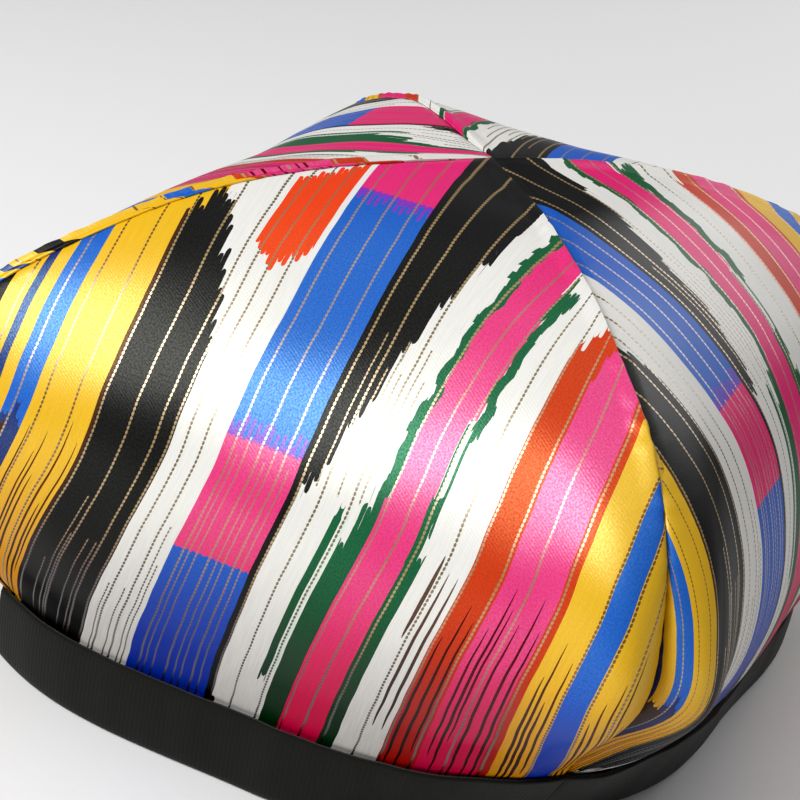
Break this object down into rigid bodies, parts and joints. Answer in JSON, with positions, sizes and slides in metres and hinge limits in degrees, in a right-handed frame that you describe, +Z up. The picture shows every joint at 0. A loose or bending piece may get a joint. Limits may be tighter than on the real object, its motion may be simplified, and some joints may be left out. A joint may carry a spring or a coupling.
{
  "type": "four-cornered hat",
  "caption": "Soft four-cornered cap of striped ikat satin: gores meet at a low peak and stand on a black binding band, open below for a head.",
  "frame": {"origin": "centre of the cap's box at the level that the band rests on", "axes": "+Z up through the peak, -Y out of the front gore's middle, +X out of the right gore's middle"},
  "size_m": [0.1812, 0.1812, 0.1225],
  "materials": {
    "striped_satin": "glossy warp-faced satin, ikat stripes with metallic thread lines",
    "black_binding": "matte, finely ribbed cotton binding"
  },
  "bodies": {
    "root": {"gore_front": "striped_satin", "gore_right": "striped_satin", "gore_back": "striped_satin", "gore_left": "striped_satin", "band": "black_binding"}
  },
  "joints": []
}
